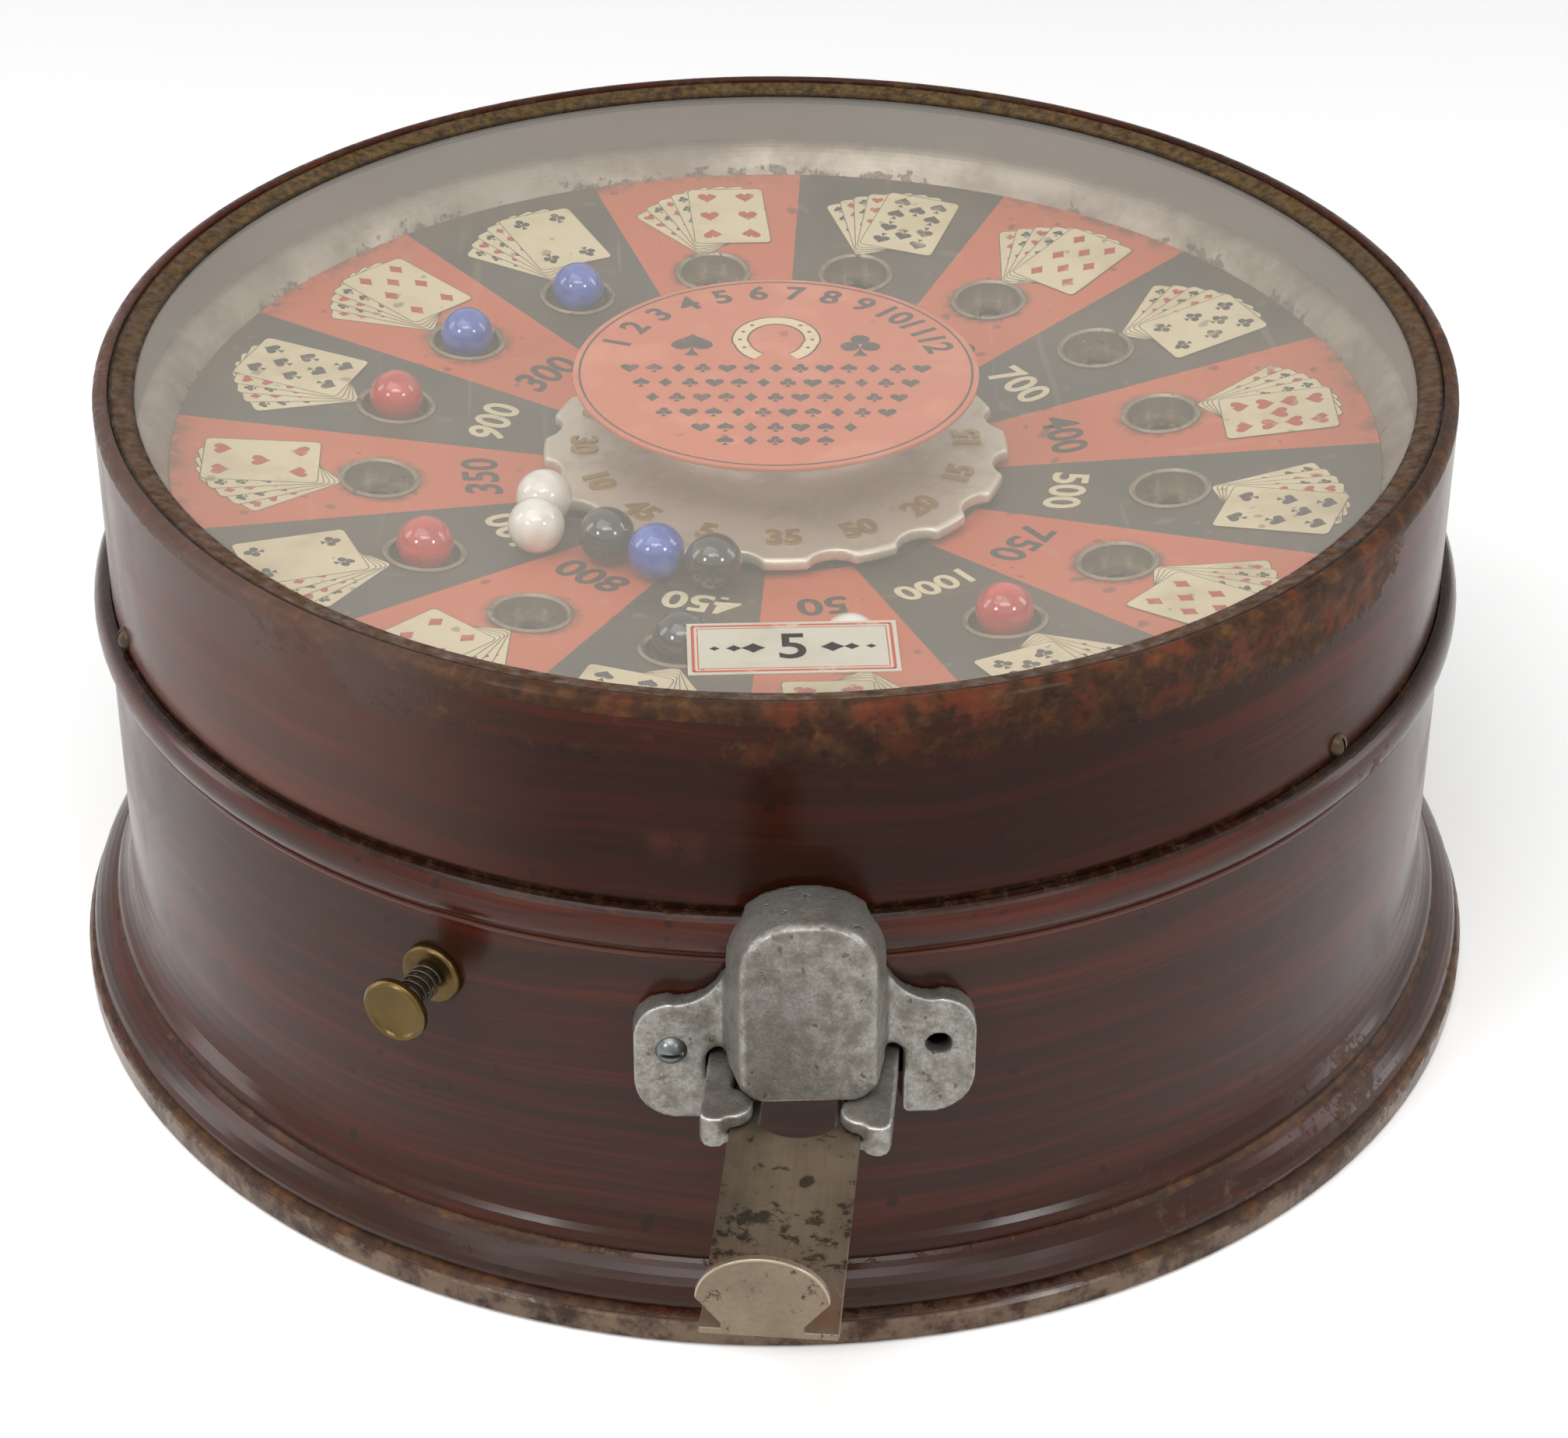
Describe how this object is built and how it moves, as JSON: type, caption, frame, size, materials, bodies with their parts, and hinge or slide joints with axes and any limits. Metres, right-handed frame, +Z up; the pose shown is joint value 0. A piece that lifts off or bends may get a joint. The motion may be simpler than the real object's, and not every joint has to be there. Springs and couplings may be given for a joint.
{
  "type": "trade stimulator",
  "caption": "Round counter-top marble game: tin case, glass top, pocketed playfield, spinning wheel, spring plunger and coin slide that lifts marbles from their pockets.",
  "frame": {"origin": "on the axis of the round case, at the counter that the machine stands on", "axes": "+Z up; -Y is the front, where the coin slide stands out; +X to the right seen from the front"},
  "size_m": [0.3805, 0.4614, 0.172],
  "materials": {
    "case_enamel": "glossy wood-grained mahogany enamel, worn and rusted at the edges",
    "base_enamel": "dark painted sheet",
    "tinned_sheet": "dull tinned sheet with stains",
    "screw_steel": "turned steel",
    "bezel_metal": "browned metal with worn gilt",
    "clear_glass": "clear, slightly hazed",
    "hoop_paint": "aged grey-cream paint",
    "label_paper": "aged cream paper",
    "field_print": "printed red and black wedges, aged",
    "bracket_steel": "plain steel",
    "bearing_brass": "turned brass",
    "aged_brass": "tarnished turned brass",
    "chute_casting": "polished grey casting, pitted and stained",
    "wheel_casting": "dull cast aluminium",
    "sign_print": "printed salmon red disc, aged",
    "spring_steel": "blackened spring wire",
    "blade_nickel": "worn nickel plate with black spots and rust",
    "red_glass": "glossy opaque red",
    "blue_glass": "glossy opaque blue",
    "black_glass": "glossy opaque black",
    "white_glass": "glossy opaque white"
  },
  "bodies": {
    "case": {"lower_case": "case_enamel", "shelf_ring": "tinned_sheet", "base_plate": "base_enamel", "base_clips": "tinned_sheet", "base_screws": "screw_steel", "cover_band": "case_enamel", "bezel_ring": "bezel_metal", "glass_top": "clear_glass", "spacer_hoop": "hoop_paint", "price_label": "label_paper", "playfield_pan": "tinned_sheet", "printed_field": "field_print", "pocket_cups": "tinned_sheet", "seam_screws": "screw_steel", "bridge": "bracket_steel", "bridge_screws": "screw_steel", "upper_bush": "bearing_brass", "bush_nut": "bearing_brass", "step_bearing": "bearing_brass", "plunger_bush": "aged_brass", "plunger_nut": "screw_steel", "chute_cover": "chute_casting", "chute_screw": "screw_steel", "chute_nut": "screw_steel", "slide_bed": "chute_casting", "slide_bracket": "bracket_steel", "bracket_screws": "screw_steel", "coin_tray": "tinned_sheet", "guide_posts": "bracket_steel", "post_collars": "bracket_steel", "rack_guide": "bracket_steel"},
    "wheel": {"wheel": "wheel_casting", "sign_disc": "sign_print", "sign_studs": "bearing_brass", "wheel_shaft": "bracket_steel", "pawl_carrier": "bracket_steel", "carrier_screw": "screw_steel", "pawl": "bracket_steel", "pawl_pin": "screw_steel"},
    "pinion": {"drive_pinion": "bearing_brass"},
    "plunger": {"plunger_knob": "aged_brass", "plunger_rod": "bracket_steel", "rack_bar": "bracket_steel", "rack_pin": "screw_steel", "plunger_spring": "spring_steel"},
    "slide": {"slide_blade": "blade_nickel", "lift_ramp": "bracket_steel", "ramp_rivets": "screw_steel"},
    "ejector": {"ejector_plate": "bracket_steel", "ejector_pins": "bracket_steel", "roller_pin": "screw_steel", "red_marbles": "red_glass", "blue_marbles": "blue_glass", "black_marbles": "black_glass", "white_marbles": "white_glass"},
    "roller": {"follower_roller": "bearing_brass"},
    "loose_marbles": {"loose_white_marbles": "white_glass", "loose_black_marbles": "black_glass", "loose_blue_marble": "blue_glass"}
  },
  "joints": [
    {"name": "wheel_spin", "type": "hinge", "parent": "case", "child": "wheel", "pos_m": [0, 0, 0.14], "axis": [0, 0, 1], "continuous": true},
    {"name": "plunger_push", "type": "slide", "parent": "case", "child": "plunger", "axis": [0.4909, 0.8712, 0], "range_m": [0, 0.0065], "stiffness_N_per_m": 400, "springref_m": -0.004, "deforming": ["plunger_spring"]},
    {"name": "pinion_turn", "type": "hinge", "parent": "case", "child": "pinion", "pos_m": [0, 0, 0.087], "axis": [0, 0, 1], "range_deg": [0, 42.6]},
    {"name": "slide_push", "type": "slide", "parent": "case", "child": "slide", "axis": [0.1253, 0.9921, 0], "range_m": [0, 0.042]},
    {"name": "ejector_lift", "type": "slide", "parent": "case", "child": "ejector", "axis": [0, 0, 1], "range_m": [0, 0.0063]},
    {"name": "roller_turn", "type": "hinge", "parent": "ejector", "child": "roller", "pos_m": [0.00777, -0.11449, 0.0833], "axis": [0.9921, -0.1253, 0], "range_deg": [-482, 0]},
    {"name": "marble_orbit", "type": "hinge", "parent": "case", "child": "loose_marbles", "pos_m": [0, 0, 0.14], "axis": [0, 0, 1], "continuous": true}
  ],
  "couplings": [
    {"joint": "pinion_turn", "follows": "plunger_push", "rad_per_m": 114.29},
    {"joint": "ejector_lift", "follows": "slide_push", "ratio": 0.15},
    {"joint": "roller_turn", "follows": "slide_push", "rad_per_m": -200}
  ]
}
